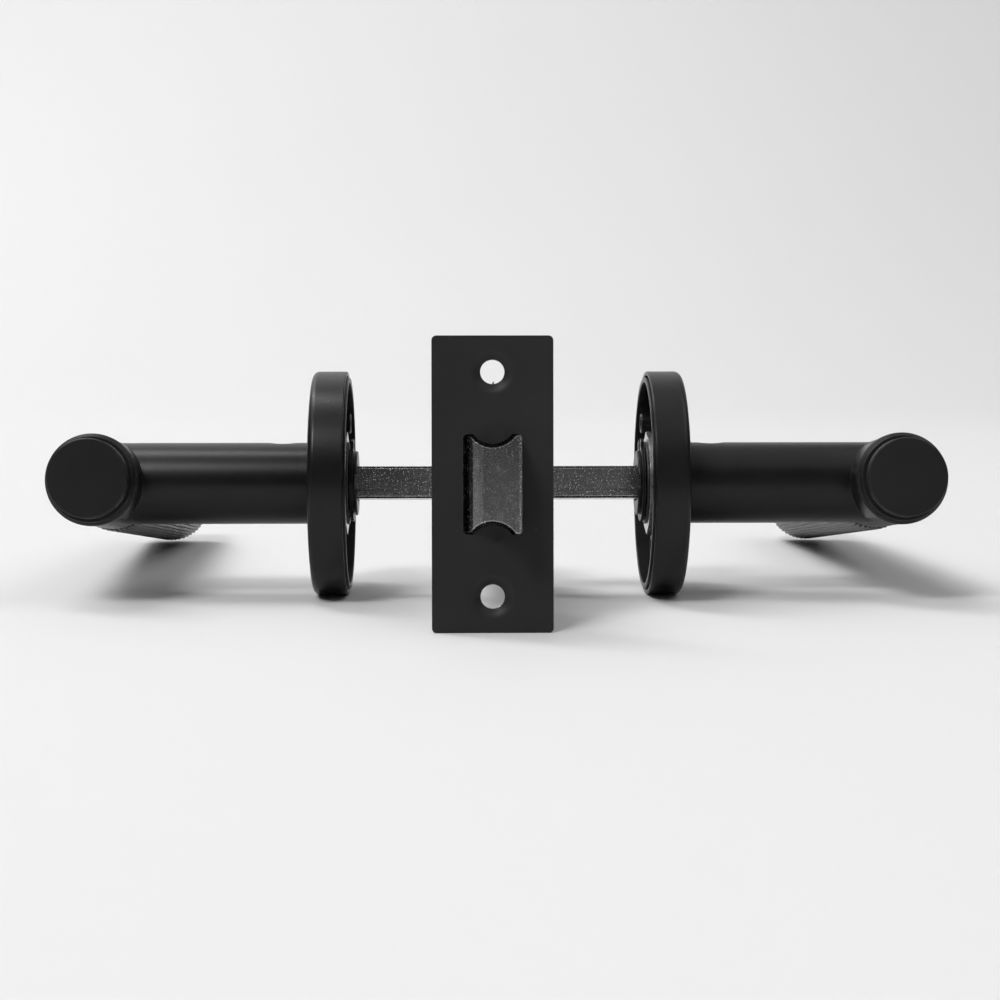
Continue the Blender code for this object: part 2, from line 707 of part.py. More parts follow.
def main():
    clear_scene()
    black = make_material("matte_black", (0.016, 0.016, 0.017), 0.5, 0.0)
    zinc = make_material("zinc_plated_steel", (0.42, 0.43, 0.45), 0.4, 1.0)
    bright = make_material("bright_steel", (0.62, 0.62, 0.63), 0.3, 1.0)
    nylon = make_material("black_nylon", (0.02, 0.02, 0.02), 0.55, 0.0)
    turning = pivot("spindle_axis", -LEVER_SAG)
    make_plates(black, zinc)
    make_tube(zinc)
    make_case(zinc)
    make_rivets(bright)
    make_bolt(zinc)
    make_rod_and_stop(bright)
    make_bolt_spring(bright)
    make_yoke(zinc)
    make_yoke_pins(bright)
    make_follower(zinc, turning)
    make_follower_spring(bright)
    make_spindle(zinc, turning)
    make_handle("left", -1, LEFT_RIM_X, (black, bright, nylon), turning)
    make_handle("right", 1, RIGHT_RIM_X, (black, bright, nylon), turning)


main()
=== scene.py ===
"""Looks for the door lever handle set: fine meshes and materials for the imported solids, a studio, a camera.

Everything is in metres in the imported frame: the origin is where the spindle crosses the latch, +X runs along
the spindle, the faceplate faces -Y, the grips point along +Y and +Z is up.
"""

import json
import math

import bmesh
import bpy
from mathutils import Euler, Matrix, Vector


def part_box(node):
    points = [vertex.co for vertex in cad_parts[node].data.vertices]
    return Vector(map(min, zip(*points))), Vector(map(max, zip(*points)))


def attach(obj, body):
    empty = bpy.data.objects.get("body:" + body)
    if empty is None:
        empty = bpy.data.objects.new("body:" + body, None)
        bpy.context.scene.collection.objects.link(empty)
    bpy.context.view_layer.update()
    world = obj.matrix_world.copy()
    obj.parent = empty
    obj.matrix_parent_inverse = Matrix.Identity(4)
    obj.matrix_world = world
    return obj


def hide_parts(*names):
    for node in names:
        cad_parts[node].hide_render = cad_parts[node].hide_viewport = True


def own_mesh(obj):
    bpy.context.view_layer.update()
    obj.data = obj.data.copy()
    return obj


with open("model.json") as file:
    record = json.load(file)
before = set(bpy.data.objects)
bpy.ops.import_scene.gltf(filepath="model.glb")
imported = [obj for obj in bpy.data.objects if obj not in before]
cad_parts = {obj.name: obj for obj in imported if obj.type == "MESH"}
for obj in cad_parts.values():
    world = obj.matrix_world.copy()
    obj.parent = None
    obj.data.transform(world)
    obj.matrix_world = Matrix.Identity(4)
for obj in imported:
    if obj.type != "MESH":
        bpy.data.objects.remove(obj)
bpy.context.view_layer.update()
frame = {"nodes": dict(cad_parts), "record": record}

MM = 0.001
FULL_TURN = 2 * math.pi
FINE = 128  # segments of a large turned piece
MEDIUM = 64
COARSE = 32
SHARP = math.radians(40)

RECORD = frame["record"]
BODY_OF = {node: body for body, nodes in RECORD["behaviour"]["bodies"].items() for node in nodes}
SLOT_OF = {part["node"]: part["material_slot"] for part in RECORD["subparts"]}


# Outlines: closed lists of two-dimensional points


def rounded(points, radius, steps=4):
    """Rounds a closed outline's corners. A point's third value is its own radius."""
    out = []
    count = len(points)
    for i, point in enumerate(points):
        here = Vector(point[:2])
        wanted = point[2] if len(point) > 2 else radius
        back = Vector(points[i - 1][:2]) - here
        ahead = Vector(points[(i + 1) % count][:2]) - here
        half = back.angle(ahead) / 2
        if wanted < 1e-6 or half > math.radians(88) or half < math.radians(2):
            out.append(here)
            continue
        reach = min(wanted / math.tan(half), 0.48 * back.length, 0.48 * ahead.length)
        start = here + back.normalized() * reach
        end = here + ahead.normalized() * reach
        middle = (back.normalized() + ahead.normalized()).normalized()
        centre = here + middle * (reach / math.cos(half))
        first, last = start - centre, end - centre
        sweep = first.angle_signed(last)
        for k in range(steps + 1):
            turn = Matrix.Rotation(-sweep * k / steps, 2)
            out.append(centre + turn @ first)
    return out


def polar(radius, angle, centre=(0, 0)):
    return Vector((centre[0] + radius * math.cos(angle), centre[1] + radius * math.sin(angle)))


def arc(centre, radius, start, end, steps):
    return [polar(radius, start + (end - start) * i / steps, centre) for i in range(steps + 1)]


def hole_outline(radius, start=-1 * MM, end=3 * MM):
    """For a lathe: a plain cylinder between two places, to cut a hole with."""
    return [(start, 0), (start, radius), (end, radius), (end, 0)]


def rectangle(half_width, half_height):
    return [(x * half_width, z * half_height) for x, z in ((1, 1), (-1, 1), (-1, -1), (1, -1))]


# Meshes


def to_object(name, shape):
    bmesh.ops.remove_doubles(shape, verts=shape.verts, dist=1e-7)
    bmesh.ops.recalc_face_normals(shape, faces=shape.faces)
    mesh = bpy.data.meshes.new(name)
    shape.to_mesh(mesh)
    shape.free()
    obj = bpy.data.objects.new(name, mesh)
    bpy.context.scene.collection.objects.link(obj)
    mesh.shade_smooth()
    mesh.set_sharp_from_angle(angle=SHARP)
    return obj


def lathe(name, outline, place, segments=FINE):
    """Turns an outline of (distance along local X, radius) about local X."""
    shape = bmesh.new()
    rings = []
    for along, radius in outline:
        if radius < 1e-7:
            rings.append([shape.verts.new(place @ Vector((along, 0, 0)))])
            continue
        angles = [FULL_TURN * k / segments for k in range(segments)]
        points = [Vector((along, radius * math.cos(a), radius * math.sin(a))) for a in angles]
        rings.append([shape.verts.new(place @ point) for point in points])
    for near, far in zip(rings, rings[1:] + rings[:1]):
        if len(near) == 1 and len(far) == 1:
            continue
        for k in range(segments):
            after = k + 1
            corners = (near[k % len(near)], near[after % len(near)], far[after % len(far)], far[k % len(far)])
            shape.faces.new(list(dict.fromkeys(corners)))
    return to_object(name, shape)


def extrude(name, outline, depth, place):
    """Pushes an outline in the local YZ plane along local X, from 0 to depth."""
    shape = bmesh.new()
    face = shape.faces.new([shape.verts.new(place @ Vector((0, p[0], p[1]))) for p in outline])
    grown = bmesh.ops.extrude_face_region(shape, geom=[face])["geom"]
    push = place.to_3x3() @ Vector((depth, 0, 0))
    bmesh.ops.translate(shape, verts=[v for v in grown if isinstance(v, bmesh.types.BMVert)], vec=push)
    return to_object(name, shape)


def block(name, low, high, place):
    shape = bmesh.new()
    size = Vector(high) - Vector(low)
    middle = (Vector(high) + Vector(low)) / 2
    stretch = Matrix.Translation(middle) @ Matrix.Diagonal((*size, 1))
    bmesh.ops.create_cube(shape, size=1.0, matrix=place @ stretch)
    return to_object(name, shape)


def wire(name, points, radius, sides=12):
    """Round wire through the points."""
    shape = bmesh.new()
    rings = []
    side_way = (points[1] - points[0]).orthogonal().normalized()
    for i, point in enumerate(points):
        ahead = points[min(i + 1, len(points) - 1)] - points[max(i - 1, 0)]
        side_way = (side_way - ahead * (side_way.dot(ahead) / ahead.length_squared)).normalized()
        other = ahead.cross(side_way).normalized()
        ring = []
        for k in range(sides):
            angle = FULL_TURN * k / sides
            offset = side_way * math.cos(angle) + other * math.sin(angle)
            ring.append(shape.verts.new(point + offset * radius))
        rings.append(ring)
    for near, far in zip(rings, rings[1:]):
        for k in range(sides):
            shape.faces.new((near[k], near[(k + 1) % sides], far[(k + 1) % sides], far[k]))
    shape.faces.new(rings[0])
    shape.faces.new(rings[-1])
    return to_object(name, shape)


def apply_modifiers(obj):
    bpy.context.view_layer.update()
    evaluated = obj.evaluated_get(bpy.context.evaluated_depsgraph_get())
    mesh = bpy.data.meshes.new_from_object(evaluated)
    obj.modifiers.clear()
    obj.data = mesh
    mesh.shade_smooth()
    mesh.set_sharp_from_angle(angle=SHARP)
    return obj


def combine(obj, other, operation="DIFFERENCE"):
    """Cuts the other object from this one, or joins it to this one, and removes the other."""
    step = obj.modifiers.new("combine", "BOOLEAN")
    step.operation = operation
    step.solver = "EXACT"
    step.object = other
    apply_modifiers(obj)
    bpy.data.objects.remove(other, do_unlink=True)
    return obj


def soften(obj, width, segments=3, limit=math.radians(32)):
    """Rounds the sharp edges."""
    step = obj.modifiers.new("edges", "BEVEL")
    step.width = width
    step.segments = segments
    step.limit_method = "ANGLE"
    step.angle_limit = limit
    step.use_clamp_overlap = True
    return apply_modifiers(obj)


def even_normals(obj):
    """Keeps large flat faces flat next to their rounded edges."""
    step = obj.modifiers.new("normals", "WEIGHTED_NORMAL")
    step.keep_sharp = True
    step.weight = 100
    return obj


def settle(piece, *nodes):
    """The piece stands for these CAD nodes: it gets the first node's finish or its slot's, even normals and
    their body, and the nodes are hidden.
    """
    slot = SLOT_OF[nodes[0]]
    piece.data.materials.clear()
    piece.data.materials.append(FINISHES.get(nodes[0], FINISHES[slot]))
    even_normals(piece)
    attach(piece, BODY_OF[nodes[0]])
    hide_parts(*nodes)
    return piece


# Materials

COAT_SHINE = 0.30


class Graph:
    """A material's nodes, added one call at a time."""

    def __init__(self, name):
        self.material = bpy.data.materials.new(name)
        self.material.use_nodes = True
        self.nodes = self.material.node_tree.nodes
        self.links = self.material.node_tree.links
        self.shader = self.nodes["Principled BSDF"]
        self.place = self.nodes.new("ShaderNodeTexCoord").outputs["Object"]

    def add(self, kind, inputs=(), **settings):
        node = self.nodes.new(kind)
        for key, value in settings.items():
            setattr(node, key, value)
        for socket, value in dict(inputs).items():
            if isinstance(value, bpy.types.NodeSocket):
                self.links.new(value, node.inputs[socket])
            else:
                node.inputs[socket].default_value = value
        return node

    def stretched(self, scale):
        return self.add("ShaderNodeMapping", {"Vector": self.place, "Scale": scale}).outputs["Vector"]

    def noise(self, size, detail=3.0, roughness=0.55, where=None):
        """Noise whose features are about this size, in metres."""
        inputs = {"Vector": where or self.place, "Scale": 1 / size, "Detail": detail, "Roughness": roughness}
        return self.add("ShaderNodeTexNoise", inputs).outputs["Fac"]

    def between(self, value, low, high, to_low, to_high):
        inputs = {"Value": value, "From Min": low, "From Max": high, "To Min": to_low, "To Max": to_high}
        return self.add("ShaderNodeMapRange", inputs).outputs["Result"]

    def math(self, operation, first, second):
        node = self.add("ShaderNodeMath", {0: first, 1: second}, operation=operation)
        return node.outputs[0]

    def ramp(self, value, *stops):
        """Greys by position, each stop (position, grey)."""
        node = self.add("ShaderNodeValToRGB", {"Fac": value})
        ramp = node.color_ramp
        while len(ramp.elements) < len(stops):
            ramp.elements.new(0.5)
        for element, (position, grey) in zip(ramp.elements, stops):
            element.position = position
            element.color = (grey, grey, grey, 1)
        return node.outputs["Color"]

    def mix(self, share, first, second):
        node = self.add("ShaderNodeMix", {0: share}, data_type="RGBA")
        for socket, value in ((6, first), (7, second)):
            if isinstance(value, bpy.types.NodeSocket):
                self.links.new(value, node.inputs[socket])
            else:
                node.inputs[socket].default_value = (*value, 1)
        return node.outputs[2]

    def bump(self, height, distance, strength, normal=None):
        inputs = {"Height": height, "Distance": distance, "Strength": strength}
        if normal:
            inputs["Normal"] = normal
        return self.add("ShaderNodeBump", inputs).outputs["Normal"]

    def edges(self, radius, tight=0.97, full=0.80):
        """1 on edges within about this radius and 0 on flat ground."""
        around = self.add("ShaderNodeBevel", {"Radius": radius}, samples=4).outputs["Normal"]
        here = self.add("ShaderNodeNewGeometry").outputs["Normal"]
        turn = self.add("ShaderNodeVectorMath", {0: around, 1: here}, operation="DOT_PRODUCT")
        return self.between(turn.outputs["Value"], tight, full, 0.0, 1.0)

    def specks(self, spacing, radius, share):
        """Sparse round dots, 1 inside a dot."""
        cells = self.add("ShaderNodeTexVoronoi", {"Vector": self.place, "Scale": 1 / spacing})
        near = self.math("LESS_THAN", cells.outputs["Distance"], radius / spacing)
        chosen = self.add("ShaderNodeSeparateColor", {"Color": cells.outputs["Color"]}).outputs["Red"]
        return self.math("MULTIPLY", near, self.math("GREATER_THAN", chosen, 1 - share))

    def done(self, **inputs):
        for name, value in inputs.items():
            socket = self.shader.inputs[name.replace("_", " ")]
            if isinstance(value, bpy.types.NodeSocket):
                self.links.new(value, socket)
            else:
                socket.default_value = value
        return self.material


def black_coat(name, depth, roughness):
    """Matte black coat of this grey: fine even texture, a few dust specks, and edges painted a little lighter
    as a highlight.
    """
    g = Graph(name)
    clouds = g.noise(30 * MM, 2)
    mottle = g.noise(1.2 * MM, 4)
    grain = g.noise(0.14 * MM, 2)
    colour = g.mix(g.between(clouds, 0.35, 0.65, 0, 1), [0.85 * depth] * 3, [1.15 * depth] * 3)
    # Painted highlight: the colour along the edges is lightened, unevenly, in place of light catching the
    # rounded edges.
    coat_edge_highlight = g.math("MULTIPLY", g.edges(0.28 * MM), g.between(mottle, 0.35, 0.7, 0.5, 1))
    colour = g.mix(coat_edge_highlight, colour, (0.075, 0.075, 0.076))
    dust = g.specks(5 * MM, 0.13 * MM, 0.35)
    colour = g.mix(dust, colour, (0.085, 0.084, 0.082))
    uneven = g.math("ADD", g.math("MULTIPLY", mottle, 0.6), g.math("MULTIPLY", clouds, 0.4))
    rough = g.between(uneven, 0.3, 0.7, roughness - 0.05, roughness + 0.05)
    normal = g.bump(grain, 0.02 * MM, 0.22)
    normal = g.bump(mottle, 0.02 * MM, 0.18, normal)
    surface = {"Base_Color": colour, "Roughness": rough, "Normal": normal}
    return g.done(**surface, Metallic=0.0, IOR=1.46, Specular_IOR_Level=COAT_SHINE)


def zinc_plate(name, depth, highlight_band=None):
    """Zinc-plated steel, tumbled: smooth ground with dull specks and patches, pits and short scratches, and
    edges painted bright as a highlight. A stretch between two places along X is smoother, with fewer dull
    specks, and painted lighter as a highlight."""
    g = Graph(name)
    pits = g.noise(0.30 * MM, 3, 0.65)
    patches = g.noise(2.4 * MM, 3)
    fine = g.noise(0.11 * MM, 2)
    streaks = g.noise(0.22 * MM, 2, 0.5, g.stretched((0.05, 1, 1)))
    slant = {"Vector": g.place, "Rotation": (0.5, 0.6, 0.7), "Scale": (1, 1, 0.05)}
    scratches = g.noise(0.2 * MM, 2, 0.5, g.add("ShaderNodeMapping", slant).outputs["Vector"])
    scratched = g.between(scratches, 0.68, 0.73, 0, 1)
    dull = g.math("MAXIMUM", g.specks(0.5 * MM, 0.10 * MM, 0.40), g.between(pits, 0.62, 0.70, 0, 0.7))
    dull = g.math("MAXIMUM", dull, g.math("MULTIPLY", scratched, 0.6))
    base = g.ramp(patches, (0.3, 0.8 * depth), (0.5, depth), (0.7, 1.2 * depth))
    if highlight_band:
        along = g.add("ShaderNodeSeparateXYZ", {"Vector": g.place}).outputs["X"]
        inside = g.math("MULTIPLY", g.between(along, highlight_band[0], highlight_band[0] + 0.1 * MM, 0, 1),
                        g.between(along, highlight_band[1], highlight_band[1] + 1.2 * MM, 1, 0))
        # Painted highlight: between the two places along X the colour is lightened; the fewer dull specks
        # there are the finish's own smoother texture.
        base = g.mix(inside, base, [2.6 * depth] * 3)
        dull = g.math("MULTIPLY", dull, g.between(inside, 0, 1, 1, 0.3))
    base = g.mix(dull, base, [min(0.85, 3.0 * depth)] * 3)
    base = g.mix(g.between(pits, 0.40, 0.30, 0, 0.7), base, [0.3 * depth] * 3)
    # Painted highlight: the colour along the edges is made bright in place of light glinting on them.
    metal_edge_highlight = g.edges(0.42 * MM, 0.985, 0.88)
    base = g.mix(metal_edge_highlight, base, (0.92, 0.92, 0.93))
    ground = g.between(patches, 0.35, 0.65, 0.24, 0.17)
    rough = g.math("ADD", ground, g.math("MULTIPLY", dull, 0.34))
    normal = g.bump(pits, 0.05 * MM, 0.4)
    normal = g.bump(streaks, 0.02 * MM, 0.25, normal)
    normal = g.bump(fine, 0.012 * MM, 0.3, normal)
    return g.done(Base_Color=base, Roughness=rough, Normal=normal, Metallic=1.0)


def bright_steel():
    """Plain steel with fine turning lines."""
    g = Graph("bright_steel")
    lines = g.noise(0.16 * MM, 3, 0.6, g.stretched((1, 0.12, 0.12)))
    patches = g.noise(1.8 * MM, 3)
    base = g.mix(g.between(patches, 0.35, 0.65, 0, 1), (0.50, 0.50, 0.51), (0.66, 0.66, 0.665))
    base = g.mix(g.specks(0.9 * MM, 0.07 * MM, 0.3), base, (0.24, 0.235, 0.23))
    rough = g.between(lines, 0.3, 0.7, 0.24, 0.40)
    normal = g.bump(lines, 0.02 * MM, 0.35)
    return g.done(Base_Color=base, Roughness=rough, Normal=normal, Metallic=1.0)


def black_nylon():
    """Moulded black nylon, lightly grained."""
    g = Graph("black_nylon")
    grain = g.noise(0.25 * MM, 3)
    patches = g.noise(4 * MM, 2)
    colour = g.mix(patches, (0.012, 0.012, 0.012), (0.022, 0.022, 0.022))
    rough = g.between(grain, 0.3, 0.7, 0.42, 0.60)
    normal = g.bump(grain, 0.03 * MM, 0.4)
    return g.done(Base_Color=colour, Roughness=rough, Normal=normal, Metallic=0.0, IOR=1.53)


CAP_COAT = black_coat("matte_black_cap_coat", 0.0115, 0.40)
FINISHES = {
    "matte_black": black_coat("matte_black_coat", 0.006, 0.33),
    "faceplate": black_coat("matte_black_plate_coat", 0.018, 0.50),
    "left_front_cap": CAP_COAT,
    "right_front_cap": CAP_COAT,
    "zinc_plate": zinc_plate("zinc_plated_steel", 0.42),
    "latch_bolt": zinc_plate("zinc_plated_casting", 0.15, (-4.0 * MM, -3.0 * MM)),
    "bright_steel": bright_steel(),
    "black_nylon": black_nylon(),
}


# The latch


def along_y(y, x=0.0, z=0.0):
    """A place whose local X is the frame's +Y, local Y its +X and local Z its +Z."""
    turn = Matrix(((0, 1, 0), (1, 0, 0), (0, 0, 1)))
    return Matrix.Translation((x, y, z)) @ turn.to_4x4()


def along_x(x, side=1, y=0.0, z=0.0):
    """A place whose local X points outwards to that side, with local Y the frame's +Y and local Z its +Z."""
    return Matrix.Translation((x, y, z)) @ Matrix.Diagonal((side, 1, 1, 1))


SCREW_HOLE_R = 2.5 * MM
COUNTERSINK_R = 4.1 * MM
COUNTERSINK_DEEP = 1.1 * MM
SCREW_SPACING = 46.2 * MM
SCALLOP_R = 5.5 * MM
SCALLOP_CENTRE_Z = 13.3 * MM
OPENING_CLEARANCE = 0.5 * MM
SIDE_CLEARANCE = 0.15 * MM
PLATE_CORNER = 1.0 * MM
BOLT_NOSE = 0.35 * MM  # flat left at the bolt's nose
BOLT_SLOPE = ((-2.4 * MM, 8.0 * MM), (-4.0 * MM, 8.9 * MM))  # x and depth behind the nose
SHEET = 0.8 * MM  # of the tube and the case
RIVETS = ("case_rivet_upper", "case_rivet_lower")


def scalloped(half_width, half_height, arc_r, arc_z, corner):
    """A rectangle hollowed by an arc at top and bottom, as (x, z) points."""
    chord = math.sqrt(arc_r**2 - (arc_z - half_height) ** 2)
    tip = 0.3 * MM
    reach = math.asin(chord / arc_r) - tip / arc_r
    down = -math.pi / 2
    hollow = [(p.x, p.y, 0) for p in arc((0, arc_z), arc_r, down + reach, down - reach, 28)]
    right = [(half_width, half_height, corner), (chord, half_height, tip)]
    left = [(-x, z, r) for x, z, r in reversed(right)]
    upper = right + hollow + left
    return rounded(upper + [(-x, -z, r) for x, z, r in upper], 0, 5)


def bolt_size():
    low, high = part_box("latch_bolt")
    return (high.x - low.x) / 2, (high.z - low.z) / 2


def pressed_hole(name, y, thick, z):
    """The cutter of a countersink pressed into the sheet, whose shoulder is soft."""
    lift = -0.01 * MM
    outline = [
        (-2 * MM, 0, 0),
        (-2 * MM, 7 * MM, 0),
        (lift, 7 * MM, 0),
        (lift, COUNTERSINK_R, 3.2 * MM),
        (COUNTERSINK_DEEP, SCREW_HOLE_R, 0.25 * MM),
        (thick + 1 * MM, SCREW_HOLE_R, 0),
        (thick + 1 * MM, 0, 0),
    ]
    return lathe(name, rounded(outline, 0, 6), along_y(y, 0, z), MEDIUM)


def dish_tongues(plate, front):
    """Presses the two tongues that reach into the bolt's scallops slightly inwards."""
    ball_r, deep = 16 * MM, 0.22 * MM
    outline = arc((0, 0), ball_r, math.pi, 0, 64)
    outline[0].y = outline[-1].y = 0
    for level in (1, -1):
        place = along_y(front - ball_r + deep, 0, level * 9.6 * MM)
        combine(plate, lathe("cutter", outline, place, MEDIUM))


def add_burr(plate, front):
    """A speck of coat that hangs in the upper screw hole."""
    outline = [
        (-0.3 * MM, 0),
        (-0.28 * MM, 0.14 * MM),
        (0.1 * MM, 0.17 * MM),
        (0.5 * MM, 0.07 * MM),
        (0.55 * MM, 0),
    ]
    foot = Vector((0.12 * MM, front + 1.2 * MM, SCREW_SPACING / 2 - SCREW_HOLE_R))
    upwards = Matrix.Rotation(-math.radians(80), 4, "Y")
    combine(plate, lathe("burr", outline, Matrix.Translation(foot) @ upwards, 12), "UNION")


def plate_opening(side_clearance):
    half_width, half_height = bolt_size()
    tall = half_height + OPENING_CLEARANCE
    arc_r = SCALLOP_R - OPENING_CLEARANCE
    return scalloped(half_width + side_clearance, tall, arc_r, SCALLOP_CENTRE_Z, 0.8 * MM)


def make_plates():
    for node, side_clearance in (("faceplate", SIDE_CLEARANCE), ("inner_plate", OPENING_CLEARANCE)):
        low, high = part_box(node)
        opening = plate_opening(side_clearance)
        thick = high.y - low.y
        outline = rounded(rectangle(high.x, high.z), PLATE_CORNER, 8)
        plate = extrude(node + "_sheet", outline, thick, along_y(low.y))
        combine(plate, extrude("cutter", opening, thick + 2 * MM, along_y(low.y - 1 * MM)))
        for side in (1, -1):
            z = side * SCREW_SPACING / 2
            if node == "faceplate":
                hole = pressed_hole("cutter", low.y, thick, z)
            else:
                hole = lathe("cutter", hole_outline(SCREW_HOLE_R), along_y(low.y, 0, z), MEDIUM)
            combine(plate, hole)
        if node == "faceplate":
            dish_tongues(plate, low.y)
        soften(plate, 0.22 * MM if node == "faceplate" else 0.12 * MM)
        if node == "faceplate":
            add_burr(plate, low.y)
        settle(plate, node)


def slope_cutter(half_width, half_height, front):
    """What is cut off to leave the bolt's slope, which runs leftwards from the nose and ends steep."""
    nose_x = half_width - BOLT_NOSE
    far_x = -half_width - 3 * MM
    past_side = (-half_width - 0.5 * MM, front + 11.6 * MM)
    slope = [(nose_x, front - 0.01 * MM), *((x, front + deep) for x, deep in BOLT_SLOPE), past_side]
    outside = [(far_x, past_side[1]), (far_x, front - 3 * MM), (nose_x, front - 3 * MM)]
    upright = Matrix(((0, 1, 0, 0), (0, 0, 1, 0), (1, 0, 0, -2 * half_height), (0, 0, 0, 1)))
    return extrude("cutter", [Vector(p) for p in slope + outside], 4 * half_height, upright)


def make_bolt():
    low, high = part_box("latch_bolt")
    half_width, half_height = bolt_size()
    half_width -= 0.2 * MM
    outline = scalloped(half_width, half_height, SCALLOP_R, SCALLOP_CENTRE_Z - 0.35 * MM, 0.5 * MM)
    bolt = extrude("latch_bolt_casting", outline, high.y - low.y, along_y(low.y))
    combine(bolt, slope_cutter(half_width, half_height, low.y))
    soften(bolt, 0.30 * MM, 3)
    rod_low, rod_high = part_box("tail_rod")
    hole_r = (rod_high.x - rod_low.x) / 2 + 0.3 * MM
    outline = hole_outline(hole_r, rod_low.y - 0.3 * MM, high.y + 1 * MM)
    combine(bolt, lathe("cutter", outline, along_y(0), COARSE))
    settle(bolt, "latch_bolt")


def make_tube():
    low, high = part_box("latch_tube")
    outer = high.z
    inner = outer - SHEET
    hole_r = 5.0 * MM
    outline = [
        (low.y, inner),
        (low.y, outer),
        (high.y, outer),
        (high.y, hole_r),
        (high.y - SHEET, hole_r),
        (high.y - SHEET, inner),
    ]
    tube = lathe("latch_tube_sleeve", rounded(outline, 0.2 * MM), along_y(0))
    settle(tube, "latch_tube")


def make_bolt_spring():
    """The spring between the bolt and its stop. It shortens as the bolt is drawn in."""
    low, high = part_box("bolt_spring")
    wire_r = 0.4 * MM
    coil_r = high.x - wire_r
    start, end = low.y + wire_r, high.y - wire_r
    turns = 7
    count = turns * 24
    points = []
    for i in range(count + 1):
        angle = FULL_TURN * turns * i / count
        along = start + (end - start) * i / count
        points.append(Vector((coil_r * math.cos(angle), along, coil_r * math.sin(angle))))
    spring = wire("bolt_spring_coil", points, wire_r)
    settle(spring, "bolt_spring")
    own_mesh(spring)


def case_outline(side, outer_r, half_width):
    """Half of a round tube whose side is pressed flat, as (x, z) points."""
    gap = 0.15 * MM
    inner_r = outer_r - SHEET
    outer_flat = math.acos(half_width / outer_r)
    inner_flat = math.acos((half_width - SHEET) / inner_r)
    top = math.pi / 2 - gap / outer_r
    outer = arc((0, 0), outer_r, top, outer_flat, 14) + arc((0, 0), outer_r, -outer_flat, -top, 14)
    inner = arc((0, 0), inner_r, -top, -inner_flat, 14) + arc((0, 0), inner_r, inner_flat, top, 14)
    return [Vector((side * p[0], p[1])) for p in outer + inner]


def make_case_halves():
    for node, side in (("case_left", -1), ("case_right", 1)):
        low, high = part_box(node)
        half_width = max(abs(low.x), abs(high.x))
        outer_r = high.z
        outline = case_outline(side, outer_r, half_width)
        half = extrude(node + "_pressing", outline, high.y - low.y, along_y(low.y))
        holes = [(7.3 * MM, 0.0, 0.0)]
        for rivet in RIVETS:
            rivet_low, rivet_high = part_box(rivet)
            middle = (rivet_low + rivet_high) / 2
            holes.append((1.6 * MM, middle.y, middle.z))
        for radius, y, z in holes:
            outline = hole_outline(radius, 3.5 * MM, 9 * MM)
            combine(half, lathe("cutter", outline, along_x(0, side, y, z), MEDIUM))
        soften(half, 0.15 * MM)
        settle(half, node)


def make_case_rivets():
    for node in RIVETS:
        low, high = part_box(node)
        middle = (low + high) / 2
        head_r = (high.z - low.z) / 2
        shank_r = 1.3 * MM
        head = 0.75 * MM
        outline = [
            (low.x, 0, 0),
            (low.x, shank_r, 0.4 * MM),
            (low.x + head, head_r, 0.1 * MM),
            (low.x + head, shank_r, 0),
            (high.x - head, shank_r, 0),
            (high.x - head, head_r, 0.1 * MM),
            (high.x, shank_r, 0.4 * MM),
            (high.x, 0, 0),
        ]
        place = along_x(0, 1, middle.y, middle.z)
        settle(lathe(node + "_headed", rounded(outline, 0), place, COARSE), node)


# Across one side of the bar, in mm: place along the side and distance from the axis. Drawing leaves a low
# ridge and a step.
BAR_SIDE = ((3.38, 3.72), (1.45, 3.80), (-1.6, 3.74), (-2.0, 3.79), (-3.38, 3.775))


def make_spindle():
    low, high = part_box("spindle")
    outline = []
    for quarter in range(4):
        turn = Matrix.Rotation(-quarter * math.pi / 2, 2)
        outline += [turn @ Vector((-out * MM, along * MM)) for along, out in BAR_SIDE]
    bar = extrude("spindle_bar", rounded(outline, 0.08 * MM, 3), high.x - low.x, TURNED @ along_x(low.x))
    soften(bar, 0.3 * MM, 2, math.radians(60))
    settle(bar, "spindle")


def make_follower():
    low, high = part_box("follower")
    hub_r, edge_r = 7 * MM, 0.3 * MM
    outline = [(low.x, 0, 0), (low.x, hub_r, edge_r), (high.x, hub_r, edge_r), (high.x, 0, 0)]
    hub = lathe("follower_hub", rounded(outline, 0), TURNED, MEDIUM)
    arm_foot, arm_tip, half_width, half_thick = 5.5 * MM, 11 * MM, 1.6 * MM, 1.9 * MM
    arm_lean = math.radians(38)
    for level in (1, -1):
        lean = Matrix.Rotation(level * arm_lean, 4, "X")
        ends = sorted((level * arm_foot, level * arm_tip))
        arm = block("arm", (-half_thick, -half_width, ends[0]), (half_thick, half_width, ends[1]), lean)
        combine(hub, arm, "UNION")
    hole = 4.1 * MM
    combine(hub, block("cutter", (-9 * MM, -hole, -hole), (9 * MM, hole, hole), TURNED))
    settle(hub, "follower")


# The handles


def grip_tilt():
    """How far the grips hang below the latch's axis."""
    front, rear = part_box("right_front_cap"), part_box("right_rear_cap")
    run = (rear[0] + rear[1] - front[0] - front[1]) / 2
    return math.atan2(-run.z, run.y)


SAG = grip_tilt()
TURNED = Matrix.Rotation(-SAG, 4, "X")  # places what turns with the levers


def turned_span(node):
    """Start, end and radius of a piece turned about a grip's axis, in the levers' own turned frame."""
    low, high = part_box(node)
    radius = (high.x - low.x) / 2
    length = (high.y - low.y - 2 * radius * math.sin(SAG)) / math.cos(SAG)
    middle = (TURNED.inverted() @ ((low + high) / 2)).y
    return middle - length / 2, middle + length / 2, radius


# Radii of what is alike in both handles
NECK_R = 9.45 * MM
HEAD_R = 10.2 * MM  # the lever's widest part, which the neck runs into
SPIGOT_R = 7.5 * MM  # the part of the lever that turns in the bush
TURNING_R = 7.85 * MM  # bores of what the spigot goes through
BUSH_R = 11.2 * MM
CORE_R = 6.4 * MM  # the rod inside a grip
CORE_BORE_R = 6.7 * MM


